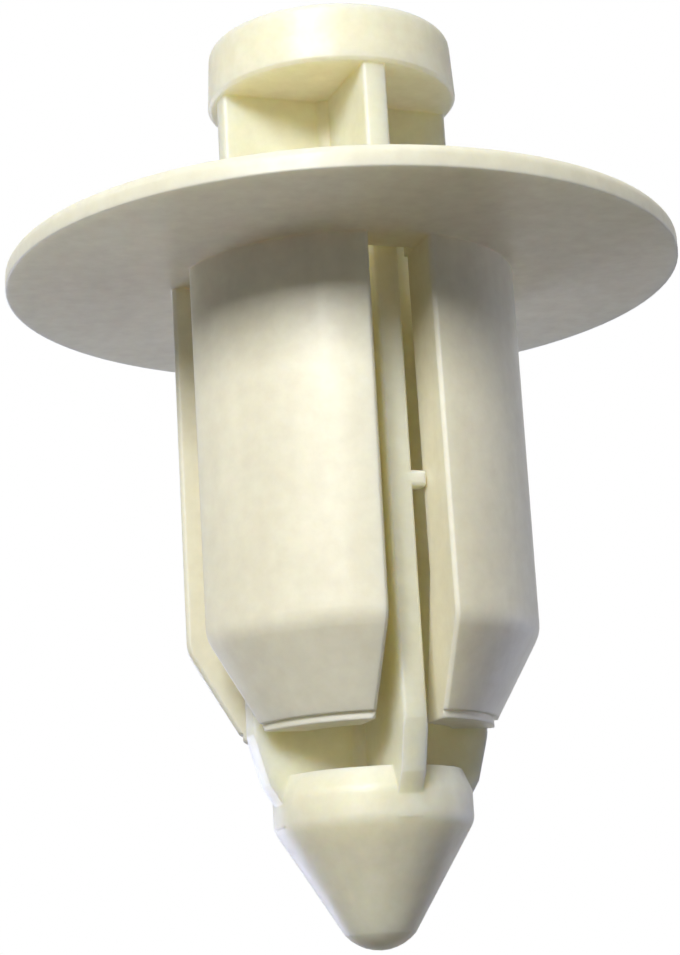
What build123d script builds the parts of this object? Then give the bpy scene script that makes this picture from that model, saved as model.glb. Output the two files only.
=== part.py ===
from build123d import *
import os
from math import cos, hypot, radians, sin

# A push-in fastening plug of natural nylon, in millimetres.
# The origin is the centre of the flange's seat, the plane that lies on the panel.
# +Z runs up the plug's axis to the head that is pressed, and the legs hang below.
# The pin is drawn raised, as the plug is delivered and pushed into its hole.

# Flange
flange_radius = 10.0
rim_thickness = 0.65
hub_thickness = 1.0
hub_radius = 6.2
rim_top_round = 0.3
rim_seat_round = 0.12

# Legs, four quarters of one tube that hangs from the flange
shank_radius = 5.1
shank_length = 10.85
leg_wall = 1.75
taper_height = 2.6
end_wall = 1.2
lip_height = 0.22
shoulder_round = 1.0
inner_taper_height = 4.1
slot_width = 1.8
slot_widening = 0.12
slot_count = 4
leg_corner = 0.1

# Fits between the pin and the body
bore_ledge = 0.25
bore_clearance = 0.25
collar_catch = 0.45
arm_clearance = 0.15
arm_corner = 0.2
rib_gap = 0.54
pip_clearance = 0.06
stop_gap = 0.02

# Travel of the pin from the raised position that is drawn
press_travel = 4.68
lift_travel = 1.15

# Pin, which lies turned in its slack until the pips reach the legs
pin_turn = 2.0
head_overlap = 0.68
head_height = 1.86
head_draft = 0.1
head_top_round = 0.25
head_edge_cut = 0.1
neck_inset = 0.18
core_radius = 0.75
rib_corner = 0.12
inner_corner_round = 0.35
foot_inset = 0.35
foot_drop = 0.25
foot_blend = 0.4
pip_drop = 6.72
pip_height = 0.45
pip_depth = 0.7
pip_round = 0.12
collar_height = 1.45
collar_shoulder_height = 0.6
collar_shoulder_inset = 0.25
collar_round = 0.6
tip_length = 3.45
tip_radius = 1.0
tip_height = 0.45

# Radii that follow from the shank and its wall
leg_inner_radius = shank_radius - leg_wall
bore_radius = leg_inner_radius - bore_ledge
collar_radius = bore_radius - bore_clearance
end_inner_radius = collar_radius - collar_catch
leg_end_radius = end_inner_radius + end_wall
head_radius = bore_radius + head_overlap
rib_radius = head_radius - neck_inset
arm_reach = rib_radius + arm_clearance

# Thickness of a rib, which leaves the same gap on both sides in its slot
rib_thickness = slot_width - 2 * rib_gap

# Angle from one slot to the next
slot_pitch = 360 / slot_count

# Heights along the axis, from the seat of the flange
shoulder_z = -shank_length
leg_end_z = shoulder_z - taper_height
lip_z = leg_end_z + lip_height
collar_top_z = leg_end_z - lift_travel - stop_gap
collar_bottom_z = collar_top_z - collar_height
tip_z = collar_bottom_z - tip_length
head_under_z = hub_thickness + press_travel + stop_gap
head_top_z = head_under_z + head_height
pip_z = -pip_drop


def slot_width_at(z):
    """Width of a leg slot, which opens a little towards the leg ends."""
    return slot_width + slot_widening * z / shoulder_z


def radial_direction(angle):
    """Level direction out from the axis, at an angle in degrees from +X."""
    return Vector(cos(radians(angle)), sin(radians(angle)), 0)


def rib_plane(index, offset):
    """Upright plane along the middle of one rib, moved sideways by offset."""
    outward = radial_direction(index * slot_pitch + pin_turn)
    sideways = Vector(0, 0, 1).cross(outward)
    return Plane(origin=sideways * offset, x_dir=outward, z_dir=sideways * -1)


def slot_plane(index):
    """Upright plane through the axis that faces out of one slot."""
    outward = radial_direction(index * slot_pitch)
    return Plane(origin=(0, 0, 0), x_dir=Vector(0, 0, 1).cross(outward), z_dir=outward)


def distance_from_axis(shape):
    """How far the middle of an edge lies from the plug's axis."""
    centre = shape.center()
    return hypot(centre.X, centre.Y)


# Flanged body, a thin round flange with four quarter-shell legs
with BuildPart() as flanged_body:
    # One tube with a rounded shoulder, a tapered end and a wall that thickens inwards
    with BuildSketch(Plane.XZ) as leg_section:
        with BuildLine():
            Polyline(
                (leg_inner_radius, 0),
                (shank_radius, 0),
                (shank_radius, shoulder_z),
                (leg_end_radius, leg_end_z),
                (end_inner_radius, leg_end_z),
                (leg_inner_radius, leg_end_z + inner_taper_height),
                close=True,
            )
        make_face()
        shank_line = leg_section.edges().filter_by(Axis.Y).sort_by(Axis.X)[-1]
        fillet(shank_line.vertices().sort_by(Axis.Y)[0], radius=shoulder_round)
    revolve(axis=Axis.Z)

    # Four slots part the tube into legs and stay open at the leg ends
    with BuildSketch(*[slot_plane(index) for index in range(slot_count)]):
        with BuildLine():
            Polyline(
                (-slot_width_at(0) / 2, 0),
                (slot_width_at(0) / 2, 0),
                (slot_width_at(leg_end_z) / 2, leg_end_z),
                (-slot_width_at(leg_end_z) / 2, leg_end_z),
                close=True,
            )
        make_face()
    extrude(amount=shank_radius, mode=Mode.SUBTRACT)

    # The legs' long outer edges are broken from the flange to the leg ends
    upright_edges = edges(Select.LAST).filter_by(
        lambda edge: edge.bounding_box().size.Z > leg_corner
    )
    middle_of_wall = shank_radius - leg_wall / 2
    chamfer(
        upright_edges.filter_by(lambda edge: distance_from_axis(edge) > middle_of_wall),
        length=leg_corner,
    )

    # Each leg ends in a short upright lip
    with BuildSketch(Plane.XZ):
        with BuildLine():
            Polyline(
                (leg_end_radius, leg_end_z),
                (shank_radius, leg_end_z),
                (shank_radius, lip_z),
                (leg_end_radius, lip_z),
                close=True,
            )
        make_face()
    revolve(axis=Axis.Z, mode=Mode.SUBTRACT)

    # The flange thins from its hub to its rim and leaves a ledge round the bore
    with BuildSketch(Plane.XZ) as flange_section:
        with BuildLine():
            Polyline(
                (bore_radius, 0),
                (bore_radius, hub_thickness),
                (hub_radius, hub_thickness),
                (flange_radius, rim_thickness),
                (flange_radius, 0),
                close=True,
            )
        make_face()
        rim_corners = flange_section.vertices().group_by(Axis.X)[-1].sort_by(Axis.Y)
        fillet(rim_corners[-1], radius=rim_top_round)
        fillet(rim_corners[0], radius=rim_seat_round)
    revolve(axis=Axis.Z)

    # The bore has four arms that let the ribs of the pin through the flange
    with BuildSketch(Plane.XY):
        for index in range(slot_count // 2):
            with Locations(Rotation(0, 0, index * slot_pitch)):
                RectangleRounded(2 * arm_reach, slot_width, arm_corner)
    extrude(amount=hub_thickness, mode=Mode.SUBTRACT)

# Centre pin, a head, a stem with four ribs, a collar and a blunt tip
with BuildPart() as centre_pin:
    # The ribs' cross has rounded outer edges and hollow corners round the core
    with BuildSketch(Plane.XY.offset(collar_bottom_z)) as rib_section:
        for index in range(slot_count // 2):
            with Locations(Rotation(0, 0, index * slot_pitch + pin_turn)):
                RectangleRounded(2 * rib_radius, rib_thickness, rib_corner)
        inner_corners = rib_section.vertices().filter_by(
            lambda v: hypot(v.X, v.Y) < rib_thickness
        )
        fillet(inner_corners, radius=inner_corner_round)
    extrude(amount=head_under_z - collar_bottom_z)

    # The ribs end in sloping feet that run into the collar
    with BuildSketch(Plane.XZ):
        with BuildLine():
            Polyline(
                (0, head_under_z),
                (rib_radius, head_under_z),
                (rib_radius, leg_end_z),
                (collar_radius + foot_inset, collar_top_z - foot_drop),
                (collar_radius, collar_top_z - collar_shoulder_height - foot_blend / 2),
                (collar_radius, collar_bottom_z),
                (0, collar_bottom_z),
                close=True,
            )
        make_face()
    revolve(axis=Axis.Z, mode=Mode.INTERSECT)

    # Head, core, collar and tip are turned in one outline
    with BuildSketch(Plane.XZ) as pin_section:
        with BuildLine():
            Polyline(
                (0, tip_z),
                (0, head_top_z),
                (head_radius - head_draft, head_top_z),
                (head_radius, head_under_z),
                (core_radius, head_under_z),
                (core_radius, collar_top_z),
                (collar_radius - collar_shoulder_inset, collar_top_z),
                (collar_radius, collar_top_z - collar_shoulder_height),
                (collar_radius, collar_bottom_z),
                (tip_radius, tip_z + tip_height),
            )
            TangentArc((0, tip_z), (tip_radius, tip_z + tip_height), tangent=(1, 0))
        make_face()
        head_corners = pin_section.vertices().group_by(Axis.Y)[-1]
        fillet(head_corners.sort_by(Axis.X)[-1], radius=head_top_round)
        chamfer(pin_section.vertices().sort_by(Axis.X)[-1], length=head_edge_cut)
        collar_line = pin_section.edges().filter_by(Axis.Y).sort_by(Axis.X)[-1]
        fillet(collar_line.vertices(), radius=collar_round)
    revolve(axis=Axis.Z)

    # A small pip on each rib bears on the leg beside it and keeps the pin central
    pip_end = slot_width_at(pip_z) / 2 - pip_clearance - rib_radius * sin(radians(pin_turn))
    for index in range(slot_count):
        with BuildSketch(rib_plane(index, pip_end)):
            with Locations((rib_radius - pip_depth / 2, pip_z)):
                RectangleRounded(pip_depth, pip_height, pip_round)
        extrude(amount=pip_end)

flanged_body.part.label = "flanged_body"
centre_pin.part.label = "centre_pin"

os.makedirs("parts", exist_ok=True)
export_step(flanged_body.part, "parts/flanged_body.step")
export_step(centre_pin.part, "parts/centre_pin.step")
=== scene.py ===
# %% [markdown]
# # A push-in fastening plug of natural nylon
# The plug holds trim to a panel. A round flange with four split legs goes into the
# hole, and a centre pin is then pressed in and slides between the legs.
# Both pieces come from the packed model, at their real size and in metres, and their
# shapes are right as they are. So this lesson makes no new mesh. It gives the two
# pieces the finish of moulded nylon, and sets up a camera and a plain studio.
#
# We start by loading the packed model, and keep its box to compare with at the end.

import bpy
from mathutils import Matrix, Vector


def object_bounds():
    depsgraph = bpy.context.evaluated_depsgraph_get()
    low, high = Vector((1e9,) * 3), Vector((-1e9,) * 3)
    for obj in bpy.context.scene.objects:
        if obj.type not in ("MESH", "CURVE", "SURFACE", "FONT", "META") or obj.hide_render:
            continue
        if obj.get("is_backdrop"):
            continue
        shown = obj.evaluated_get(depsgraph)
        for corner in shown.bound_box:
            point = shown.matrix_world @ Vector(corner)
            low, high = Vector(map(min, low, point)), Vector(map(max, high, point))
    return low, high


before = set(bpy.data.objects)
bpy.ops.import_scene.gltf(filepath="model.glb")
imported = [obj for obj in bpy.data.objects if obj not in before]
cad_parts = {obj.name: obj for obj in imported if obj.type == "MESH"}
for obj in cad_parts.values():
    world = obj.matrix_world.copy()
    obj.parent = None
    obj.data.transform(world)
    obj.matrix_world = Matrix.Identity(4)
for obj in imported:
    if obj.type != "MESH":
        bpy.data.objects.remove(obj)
cad_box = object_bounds()
print("CAD box in metres", [[round(number, 5) for number in corner] for corner in cad_box])

# %% [markdown]
# ## Units
# The plug is 27 mm long, so its sizes read best in millimetres, while Blender counts
# in metres. One factor turns a length in millimetres into metres, and every length
# below is written in millimetres and multiplied by it where Blender gets it.
# An operator acts on all that is selected, and loading leaves the nodes selected, so
# a helper clears the selection before anything new is added.

# %% Units and selection
import bpy

MM = 0.001


def deselect_all():
    """Leaves nothing selected, so that an operator acts only on what it adds."""
    bpy.ops.object.select_all(action="DESELECT")


deselect_all()
print("selected objects", len(bpy.context.selected_objects))

# %% [markdown]
# ## Shader maths
# A finish is a graph of nodes, and a sum takes a node for each plus sign. By hand that
# is a long chain of boxes that nobody can read. So a small class wraps one output
# socket and overloads the operators, and a plain Python expression adds the nodes.
# The reflected forms make 1 - mask work as well as mask - 1.


# %% A socket that works like a number
class Value:
    """One output socket of a graph, used like a number."""

    def __init__(self, graph, socket):
        self.graph = graph
        self.socket = socket

    def math(self, operation, first, second, clamp=False):
        """A Math node, whose result stays between 0 and 1 where clamp is true."""
        settings = {"operation": operation, "use_clamp": clamp}
        return self.graph.node("Math", settings, {0: first, 1: second})

    def __add__(self, other):
        return self.math("ADD", self, other)

    def __radd__(self, other):
        return self.math("ADD", other, self)

    def __sub__(self, other):
        return self.math("SUBTRACT", self, other)

    def __rsub__(self, other):
        return self.math("SUBTRACT", other, self)

    def __mul__(self, other):
        return self.math("MULTIPLY", self, other)

    def __rmul__(self, other):
        return self.math("MULTIPLY", other, self)

    def clamped(self):
        return self.math("ADD", self, 0.0, clamp=True)


print("reflected operators", [name for name in vars(Value) if name.startswith("__r")])

# %% [markdown]
# Every other node comes from one method of the graph. It takes the node's type, its
# settings and what goes into its sockets. The settings are made first, because some of
# them change which sockets the node has. A socket gets a number, a colour or a link.
# The same class serves the materials and the world, which both hold a node tree.


# %% One method for all other nodes
class Graph:
    """A node tree, emptied first and then filled by its one method."""

    def __init__(self, owner):
        self.owner = owner
        owner.use_nodes = True
        owner.node_tree.nodes.clear()

    def node(self, kind, settings=None, inputs=None, output=0):
        """Adds one node and gives back one of its outputs, if it has any."""
        tree = self.owner.node_tree
        made = tree.nodes.new("ShaderNode" + kind)
        for setting, choice in (settings or {}).items():
            setattr(made, setting, choice)
        for place, item in (inputs or {}).items():
            if isinstance(item, Value):
                tree.links.new(item.socket, made.inputs[place])
            else:
                made.inputs[place].default_value = item
        return Value(self, made.outputs[output]) if made.outputs else None

    def close(self, kind, surface):
        """Adds the output node, which ends the graph, and prints how large it got."""
        self.node(kind, inputs={"Surface": surface})
        print("graph", self.owner.name, "has", len(self.owner.node_tree.nodes), "nodes")


print("a graph can", [name for name in vars(Graph) if not name.startswith("_")])

# %% [markdown]
# ## Colours
# A colour read off a screen is stored unevenly, with more room for the dark tones,
# while shaders count light itself. With the screen numbers put in as they are, the
# nylon would come out chalky, so one function straightens them first.
# Two colours are blended by a Mix node, because a Math node turns a colour grey.
# That node has a set of sockets for each type of data, and its colour sockets are
# the ones numbered 6 and 7, with the result at number 2.


# %% Screen colours and mixes
def screen_colour(red, green, blue):
    """A screen colour, from 0 to 255, as the even numbers that shaders use."""
    even = []
    for channel in (red, green, blue):
        share = channel / 255
        even.append(share / 12.92 if share <= 0.04045 else ((share + 0.055) / 1.055) ** 2.4)
    return (*even, 1.0)


def mix_colours(graph, factor, first, second):
    """The colour that lies factor of the way from first to second."""
    sockets = {0: factor, 6: first, 7: second}
    return graph.node("Mix", {"data_type": "RGBA"}, sockets, output=2)


PALE_CREAM = screen_colour(246, 242, 218)
DEEP_CREAM = screen_colour(227, 221, 196)
WARM_PALE_CREAM = screen_colour(247, 243, 218)
WARM_DEEP_CREAM = screen_colour(228, 223, 194)
RUBBED_CREAM = screen_colour(249, 246, 228)
print("pale cream is", [round(part, 2) for part in PALE_CREAM])

# %% [markdown]
# ## The tone of natural nylon
# The real plug is undyed nylon, a warm cream. It is never quite even: the tone drifts
# over some millimetres where the melt was hotter or slower, faint streaks run along
# the legs in the direction of flow, and a fine mottle lies over all of it.
# Painting that by hand would need a picture, and a picture has no place to sit on a
# part that is seen from all sides. Noise in Object coordinates runs through the piece
# like the flow in the mould does, and has no seam. A Mapping node squeezes the
# coordinates along the plug's axis, which draws the noise out into streaks.
#
# Each noise stays near 0.5. The shares of the three add up to 2.4, so their sum stays
# near 1.2, and the shift brings it back to 0.5, halfway between pale and deep.


# %% Noise, and the tone of the nylon
PLAIN_DETAIL = 2.0
RICH_DETAIL = 3.0
PLAIN_ROUGHNESS = 0.5
RICH_ROUGHNESS = 0.6
DRIFT_SIZE = 6.0
DRIFT_SHARE = 0.9
STREAK_SIZE = 0.7
STREAK_STRETCH = 9.0
STREAK_SHARE = 0.6
MOTTLE_SIZE = 0.5
MOTTLE_SHARE = 0.9
TONE_SHIFT = 0.7


def noise(graph, where, size, detail=PLAIN_DETAIL, roughness=PLAIN_ROUGHNESS):
    """Noise from 0 to 1, with blobs of about the given size in millimetres."""
    sockets = {"Vector": where, "Scale": 1 / (size * MM), "Detail": detail}
    sockets["Roughness"] = roughness
    return graph.node("TexNoise", {"noise_dimensions": "3D"}, sockets)


def melt_tone(graph, where):
    """How deep the cream is, from 0 for the palest to 1 for the deepest."""
    along_axis = {"Vector": where, "Scale": (1.0, 1.0, 1 / STREAK_STRETCH)}
    drawn_out = graph.node("Mapping", {"vector_type": "POINT"}, along_axis)
    drift = noise(graph, where, DRIFT_SIZE, RICH_DETAIL)
    streaks = noise(graph, drawn_out, STREAK_SIZE)
    mottle = noise(graph, where, MOTTLE_SIZE, RICH_DETAIL, RICH_ROUGHNESS)
    tone = drift * DRIFT_SHARE + streaks * STREAK_SHARE + mottle * MOTTLE_SHARE
    return (tone - TONE_SHIFT).clamped()


print("tone drifts over", DRIFT_SIZE, "mm and mottles over", MOTTLE_SIZE, "mm")

# %% [markdown]
# ## Soft edges
# No moulded edge is sharp. The model's own edges are, apart from the rounds that a
# hand would feel, and a sharp edge catches no light, which makes plastic look like
# paper. Beveling the mesh would add thousands of faces for a tenth of a millimetre.
# The Bevel node only bends the light at an edge, as if it were round, and the mesh
# stays as it is. Where the bent direction and the true one part, there is an edge,
# and their dot product tells by how much. The finish uses that further down, because
# a rubbed edge is a little paler and duller than the skin beside it.


# %% Where the edges are
EDGE_ROUND = 0.09
EDGE_SAMPLES = 6
EDGE_GAIN = 2.2


def soft_edges(graph):
    """The direction that a rounded edge would face, and how near an edge is, 0 to 1."""
    rounded = graph.node("Bevel", {"samples": EDGE_SAMPLES}, {"Radius": EDGE_ROUND * MM})
    facing = graph.node("NewGeometry", output="Normal")
    pair = {0: rounded, 1: facing}
    alike = graph.node("VectorMath", {"operation": "DOT_PRODUCT"}, pair, output="Value")
    return rounded, ((1 - alike) * EDGE_GAIN).clamped()


print("edges look rounded by", EDGE_ROUND, "mm")

# %% [markdown]
# ## The moulded skin
# The skin copies the mould: a shallow orange peel with a finer grain over it. It could
# be modelled by displacing the mesh, but it is only hundredths of a millimetre deep,
# and the mesh would need millions of faces. So both are height for a Bump node, which
# only tilts the light. It starts from the soft edges and adds the skin to them.


# %% Orange peel and grain
PEEL_SIZE = 0.35
PEEL_SHARE = 0.7
GRAIN_SIZE = 0.08
GRAIN_SHARE = 0.3
SKIN_DEPTH = 0.02
SKIN_STRENGTH = 0.25


def moulded_skin(graph, where, rounded):
    """The direction of the surface with its peel and grain, over the soft edges."""
    peel = noise(graph, where, PEEL_SIZE)
    grain = noise(graph, where, GRAIN_SIZE, RICH_DETAIL, RICH_ROUGHNESS)
    sockets = {"Strength": SKIN_STRENGTH, "Distance": SKIN_DEPTH * MM, "Normal": rounded}
    sockets["Height"] = peel * PEEL_SHARE + grain * GRAIN_SHARE
    return graph.node("Bump", inputs=sockets)


print("skin is", SKIN_DEPTH * SKIN_STRENGTH, "mm deep")

# %% [markdown]
# ## The finish as a whole
# Nylon isn't opaque. Light goes in by about a millimetre and comes out beside the
# place where it went in, redder than it was, which is why thin legs glow and shadows
# in the slots stay warm. Plain paint would make them look cast in plaster.
# Subsurface scattering does just that: red light travels furthest and blue least.
# The skin is smooth but not glossy, with a roughness near 0.4 that varies a little.


# %% The nylon finish
LIGHT_REACH = (1.0, 0.85, 0.55)
SKIN_ROUGHNESS = 0.36
TONE_DULLS = 0.14
EDGE_DULLS = 0.15
EDGE_RUBBED = 0.5
NYLON_IOR = 1.53


def natural_nylon(name, pale, deep, glow, reach):
    """Moulded nylon. Glow is the share of light that goes in, reach how far, in mm."""
    graph = Graph(bpy.data.materials.new(name))
    where = graph.node("TexCoord", output="Object")
    tone = melt_tone(graph, where)
    rounded, edge = soft_edges(graph)
    cream = mix_colours(graph, tone, pale, deep)
    nylon = {
        "Base Color": mix_colours(graph, edge * EDGE_RUBBED, cream, RUBBED_CREAM),
        "Roughness": (SKIN_ROUGHNESS + tone * TONE_DULLS + edge * EDGE_DULLS).clamped(),
        "Normal": moulded_skin(graph, where, rounded),
        "IOR": NYLON_IOR,
        "Subsurface Weight": glow,
        "Subsurface Radius": LIGHT_REACH,
        "Subsurface Scale": reach * MM,
    }
    shader = graph.node("BsdfPrincipled", {"subsurface_method": "RANDOM_WALK"}, nylon)
    graph.close("OutputMaterial", shader)
    return graph.owner


print("skin roughness starts at", SKIN_ROUGHNESS)

# %% [markdown]
# ## The body
# The flange and its four legs are one moulding, with walls of 1 to 2 mm. A finish is
# put on by filling the mesh's material slot. The new material replaces the plain one
# that the packed model came with. Both pieces are dressed alike, so a helper does it.

# %% Dress the body
body_nylon = natural_nylon("body_nylon", PALE_CREAM, DEEP_CREAM, glow=0.5, reach=1.0)


def dress(node_name, finish):
    """Gives a node of the packed model its finish, in place of the material it came with."""
    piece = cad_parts[node_name]
    piece.data.materials.clear()
    piece.data.materials.append(finish)
    print(node_name, "wears", finish.name, "on", len(piece.data.polygons), "faces")


dress("flanged_body", body_nylon)

# %% [markdown]
# ## The pin
# The pin is a moulding of its own, and two mouldings seldom have quite the same cream,
# so this one is a shade warmer. One material on both pieces would hide that they are
# two. The pin is also thinner, with ribs of 0.7 mm, so more light goes into it and
# gets further.

# %% Dress the pin
pin_nylon = natural_nylon("pin_nylon", WARM_PALE_CREAM, WARM_DEEP_CREAM, glow=1.0, reach=1.5)
dress("centre_pin", pin_nylon)

# %% [markdown]
# ## The camera
# The photograph looks at the plug from below its flange, close up, a little to the
# left of a leg slot. Such a camera could be placed with a Track To constraint, but it
# is also rolled by a few degrees, as a camera in the hand is, and a constraint can't
# hold that. So the three directions of the camera are worked out as vectors: forward
# first, then right and up, which are both turned about forward by the roll.

# %% Where the camera stands and looks
import math

from mathutils import Matrix, Vector

CAMERA_ROUND = math.radians(-19.5)
CAMERA_PLACE = Vector((0.06, -65.8, -21.26))
LOOK_UP = 0.23
LOOK_ASIDE = -0.007
ROLL = 0.058
UPRIGHT = Vector((0, 0, 1))


def camera_turn():
    """The directions right, up and back of the camera, as the columns of a matrix."""
    level = math.cos(LOOK_UP)
    ahead = math.cos(LOOK_ASIDE) * level
    aside = math.sin(LOOK_ASIDE) * level
    forward = Vector((aside, ahead, math.sin(LOOK_UP)))
    right = forward.cross(UPRIGHT).normalized()
    roll = Matrix.Rotation(ROLL, 3, forward)
    return Matrix((roll @ right, roll @ right.cross(forward), -forward)).transposed()


print("camera stands", round(CAMERA_PLACE.length, 1), "mm from the plug's origin")

# %% [markdown]
# The lens decides how strongly near and far parts differ in size. A longer lens from
# further away would flatten the flange's wide oval, so both come from the photograph.
# The picture is taller than it is wide, so Blender fits the sensor to its height. The
# focal length in picture heights, times the sensor's size, is the length of the lens.
# Standing and looking are worked out for a camera in front, and one turn about the
# plug's axis then takes it to its real side.

# %% Make the camera
PICTURE_HEIGHT = 955
FOCAL_PIXELS = 2299
SENSOR = 36
NEAREST = 1.0
FURTHEST = 10000.0

camera_data = bpy.data.cameras.new("camera")
camera_data.sensor_width = SENSOR
camera_data.lens = FOCAL_PIXELS / PICTURE_HEIGHT * SENSOR
camera_data.clip_start = NEAREST * MM
camera_data.clip_end = FURTHEST * MM
camera = bpy.data.objects.new("camera", camera_data)
bpy.context.scene.collection.objects.link(camera)
in_front = Matrix.Translation(CAMERA_PLACE * MM) @ camera_turn().to_4x4()
camera.matrix_world = Matrix.Rotation(CAMERA_ROUND, 4, "Z") @ in_front
bpy.context.scene.camera = camera
print("lens", round(camera_data.lens, 1), "mm, camera at", camera.matrix_world.translation[:])

# %% [markdown]
# ## What the camera sees, and what the light does
# A white room would light the plug from all sides and wipe out its shadows. So the
# surroundings show white only to the rays that look at them: from the camera, from a
# glossy reflection, or through something clear. For the soft light that falls on the
# plug they stay dim. The Light Path node tells the kinds of ray apart, and floor and
# world both ask it.


# %% Rays that look
LOOKING_RAYS = ("Is Camera Ray", "Is Glossy Ray", "Is Transmission Ray")


def looked_at(graph):
    """1 for the rays that look at a surface, and 0 for those that gather soft light."""
    camera_ray, glossy_ray, clear_ray = [
        graph.node("LightPath", output=kind) for kind in LOOKING_RAYS
    ]
    return (camera_ray + glossy_ray + clear_ray).clamped()


print("the surroundings look white to", len(LOOKING_RAYS), "kinds of ray")

# %% [markdown]
# ## The paper of the floor
# In use the plug is held by its shank in a panel, so here it hangs over a pale floor,
# and nothing hides it. The floor is plain paper, with a soft shadow on it. It fades
# to white with distance, as a sweep of paper in a studio does, so no edge shows.
# Seen from below it is clear, so that a camera under it still sees the plug.
# Real white paper would throw much light up at the flange. The photograph's shadows
# are dark there, so for soft light the paper is a darker grey than the eye sees.

# %% Paper
PAPER_SEEN = (0.86, 0.86, 0.86, 1.0)
PAPER_BOUNCE = (0.15, 0.15, 0.17, 1.0)
WHITE = (1.0, 1.0, 1.0, 1.0)
PAPER_GLOW = 0.55
FADE_REACH = 450.0


def pale_paper():
    """Paper that keeps shadows and fades to white away from the plug."""
    graph = Graph(bpy.data.materials.new("pale_paper"))
    seen = looked_at(graph)
    where = graph.node("TexCoord", output="Object")
    away = graph.node("VectorMath", {"operation": "LENGTH"}, {0: where}, output="Value")
    fade = (PAPER_GLOW + away * (1 / (FADE_REACH * MM))).clamped()
    tint = mix_colours(graph, seen, PAPER_BOUNCE, PAPER_SEEN)
    plain = graph.node("BsdfDiffuse", inputs={"Color": tint})
    white = graph.node("Emission", inputs={"Color": WHITE, "Strength": 1.0})
    top = graph.node("MixShader", inputs={0: fade * seen, 1: plain, 2: white})
    below = graph.node("NewGeometry", output="Backfacing")
    clear = graph.node("BsdfTransparent")
    graph.close("OutputMaterial", graph.node("MixShader", inputs={0: below, 1: top, 2: clear}))
    return graph.owner


print("the paper is all white beyond", round((1 - PAPER_GLOW) * FADE_REACH), "mm")

# %% [markdown] ## The floor The floor itself is one large square under the plug,
# added as a plane at its size and place.

# %% Lay the floor
FLOOR_HEIGHT = -60.0
FLOOR_SIZE = 1200.0

deselect_all()
bpy.ops.mesh.primitive_plane_add(size=FLOOR_SIZE * MM, location=(0, 0, FLOOR_HEIGHT * MM))
floor = bpy.context.object
floor.name = "floor"
floor.data.materials.append(pale_paper())
floor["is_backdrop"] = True
print("floor", FLOOR_SIZE, "mm wide at", FLOOR_HEIGHT, "mm")

# %% [markdown]
# ## The room
# The world is the room around. It is white where it is looked at, and otherwise gives
# only a trace of cool light, as a window on the far side would. An even world would
# be enough to see by, but it would leave the plug without a lit and a shaded side.

# %% The world
ROOM_LIGHT = (0.012, 0.013, 0.015, 1.0)

world = bpy.data.worlds.new("white_room")
bpy.context.scene.world = world
room = Graph(world)
room_colour = mix_colours(room, looked_at(room), ROOM_LIGHT, WHITE)
room.close("OutputWorld", room.node("Background", inputs={"Color": room_colour}))

# %% [markdown]
# ## A soft lamp
# A small lamp would draw hard shadows, and a sun would light everything alike. A
# square area lamp is like a window or a photographer's box: its shadows are soft, and
# the larger it is, the softer. It shines along its own -Z, so its turn is found by
# tracking -Z to the plug. The camera doesn't see it, so it spoils no other view.

# %% How a lamp is made
PLAIN_WHITE = (1.0, 1.0, 1.0)
COOL_WHITE = (0.70, 0.74, 1.0)


def add_lamp(name, around, above, distance, size, power, colour):
    """A soft lamp, in degrees round from behind the camera and above level, mm and watts."""
    turned = math.radians(around) + CAMERA_ROUND
    level = math.cos(math.radians(above))
    height = math.sin(math.radians(above))
    away = Vector((math.sin(turned) * level, -math.cos(turned) * level, height))
    lamp_data = bpy.data.lights.new(name, "AREA")
    lamp_data.size = size * MM
    lamp_data.energy = power
    lamp_data.color = colour
    lamp = bpy.data.objects.new(name, lamp_data)
    bpy.context.scene.collection.objects.link(lamp)
    lamp.location = away * distance * MM
    lamp.rotation_mode = "QUATERNION"
    lamp.rotation_quaternion = (-away).to_track_quat("-Z", "Y")
    lamp.visible_camera = False
    print("lamp", name, "at", [round(number / MM) for number in lamp.location], "mm")


print("lamps are", PLAIN_WHITE, "or", COOL_WHITE)

# %% [markdown]
# ## The lamps
# The key lamp stands high behind the camera, a little to its left. It lights the left
# of the two legs in front and leaves the right one in half shade, and the flange
# throws its shadow over the tops of the legs. A weak lamp overhead brings the top of
# the flange and the collar's shoulder up to their own colour.
# Two lamps stand lower than the flange, one behind the plug on the left and one
# beside it on the right. Their cool light grazes the flange's underside from its rim
# inwards, and shines through the slots. Without them the hollow between the legs
# would be black. The near side gets almost none of their light.

# %% Lamps
add_lamp("key", -15, 26, distance=300, size=110, power=0.98, colour=PLAIN_WHITE)
add_lamp("top", 0, 80, distance=200, size=150, power=0.08, colour=PLAIN_WHITE)
add_lamp("left_rim", -138, -20, distance=110, size=60, power=0.064, colour=COOL_WHITE)
add_lamp("right_rim", 118, -17, distance=130, size=90, power=0.050, colour=COOL_WHITE)

# %% [markdown]
# ## How the picture is worked out
# The Standard view shows a colour about as it is written, where the default view
# would grey it. In the hollow of the plug light bounces from wall to wall many times
# before it comes out, and each pale wall gives most of it back. Four bounces, which
# is the default, cut that short and leave the slots too dark, so it gets more.

# %% View and bounces
BOUNCES = 24

scene = bpy.context.scene
scene.view_settings.view_transform = "Standard"
scene.cycles.max_bounces = BOUNCES
scene.cycles.diffuse_bounces = BOUNCES
print("view", scene.view_settings.view_transform, "with", scene.cycles.diffuse_bounces, "bounces")

# %% [markdown]
# ## Finish
# The dressed plug has to be as large as the model it came from, so its box is
# compared with the model's box and the largest change is printed.

visual_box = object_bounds()
changes = [abs(a - b) for cad, now in zip(cad_box, visual_box) for a, b in zip(cad, now)]
print("the box has changed by", max(changes), "m at most")
